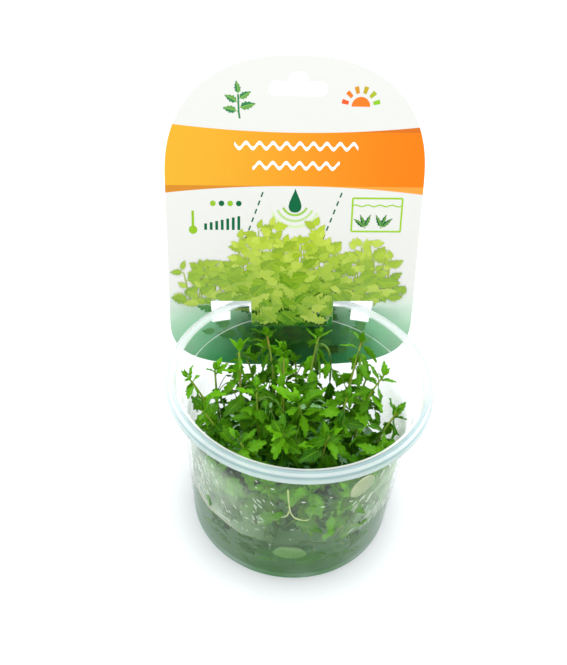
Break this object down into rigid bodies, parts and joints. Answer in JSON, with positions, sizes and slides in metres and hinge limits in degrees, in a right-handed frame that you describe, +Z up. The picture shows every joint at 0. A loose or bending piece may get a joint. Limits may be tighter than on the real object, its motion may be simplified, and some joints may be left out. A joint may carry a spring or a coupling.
{
  "type": "tissue culture mermaid weed",
  "caption": "Clear culture cup with nutrient gel and a dense tuft of rooted mermaid weed sprigs, with a die-cut hanging card hooked over its rim.",
  "frame": {"origin": "centre of the cup's flat underside", "axes": "+Z up, out of the cup's mouth; +Y towards the hanging card at the back; +X to the right seen from the front"},
  "size_m": [0.1035, 0.1214, 0.1686],
  "materials": {
    "cup_plastic": "milky clear moulded plastic, satin",
    "gel": "clear, slightly cloudy jelly",
    "card_board": "coated white board with a printed orange band and green foliage",
    "leaf": "fresh green leaf, satin"
  },
  "bodies": {
    "root": {"cup": "cup_plastic", "gel": "gel", "card": "card_board", "sprig_01": "leaf", "sprig_02": "leaf", "sprig_03": "leaf", "sprig_04": "leaf", "sprig_05": "leaf", "sprig_06": "leaf", "sprig_07": "leaf", "sprig_08": "leaf", "sprig_09": "leaf", "sprig_10": "leaf", "sprig_11": "leaf", "sprig_12": "leaf", "sprig_13": "leaf", "sprig_14": "leaf", "sprig_15": "leaf", "sprig_16": "leaf", "sprig_17": "leaf", "sprig_18": "leaf", "sprig_19": "leaf", "sprig_20": "leaf", "sprig_21": "leaf", "sprig_22": "leaf", "sprig_23": "leaf", "sprig_24": "leaf"}
  },
  "joints": []
}
